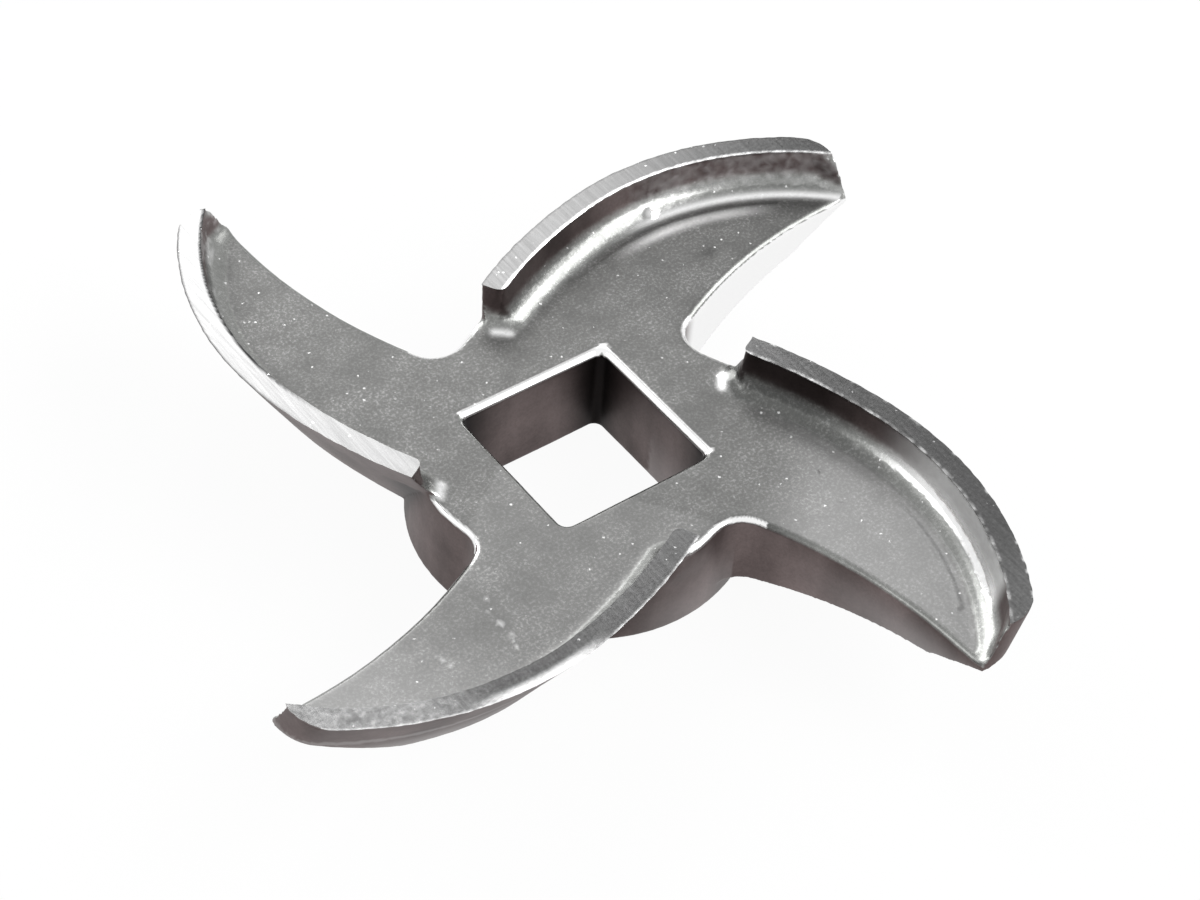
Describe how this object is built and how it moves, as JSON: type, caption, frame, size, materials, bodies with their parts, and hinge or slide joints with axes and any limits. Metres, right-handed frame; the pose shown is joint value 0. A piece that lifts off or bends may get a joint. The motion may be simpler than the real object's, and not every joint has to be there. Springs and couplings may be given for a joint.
{
  "type": "meat grinder knife",
  "caption": "Cast steel meat grinder knife: swept arms with raised, ground cutting lands round a flat hub with a square through bore.",
  "frame": {"origin": "centre of the boss's lower face, on the axis of the square bore", "axes": "+Z along the bore axis towards the ground lands; the square bore's sides lie along X and Y"},
  "size_m": [0.0906, 0.0906, 0.0152],
  "materials": {
    "steel": "cast and tumbled, with ground lands"
  },
  "bodies": {
    "root": {"knife": "steel"}
  },
  "joints": []
}
